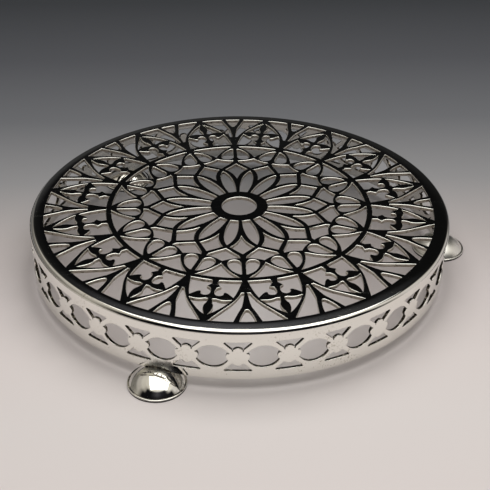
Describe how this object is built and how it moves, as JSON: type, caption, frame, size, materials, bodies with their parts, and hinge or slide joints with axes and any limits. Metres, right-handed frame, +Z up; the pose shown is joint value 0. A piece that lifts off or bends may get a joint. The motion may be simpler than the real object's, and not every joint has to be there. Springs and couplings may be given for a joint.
{
  "type": "round pierced silver teapot stand",
  "caption": "Round polished silver teapot stand: a plate pierced with a Gothic rose tracery over a pierced gallery, on low domed bun feet.",
  "frame": {"origin": "on the table, under the middle of the overall bounding box; the plate's own axis stands 5.5 mm to -X and 2.5 mm to +Y of it, because the feet project beyond the plate", "axes": "+Z up, square to the plate; -Y towards the picture's camera, along one rib of the tracery; +X to the right in the picture"},
  "size_m": [0.175, 0.169, 0.0253],
  "materials": {
    "plate": "sterling silver sheet, saw-pierced and hand-polished to a mirror, with fine wear scratches",
    "gallery": "sterling silver strip, saw-pierced and hand-polished",
    "feet": "raised sterling silver, polished, with a closing disc soldered in below"
  },
  "bodies": {
    "root": {"top_plate": "plate", "gallery_band": "gallery", "foot_dome_front": "feet", "foot_dome_right": "feet", "foot_dome_left": "feet", "foot_sole_front": "feet", "foot_sole_right": "feet", "foot_sole_left": "feet"}
  },
  "joints": []
}
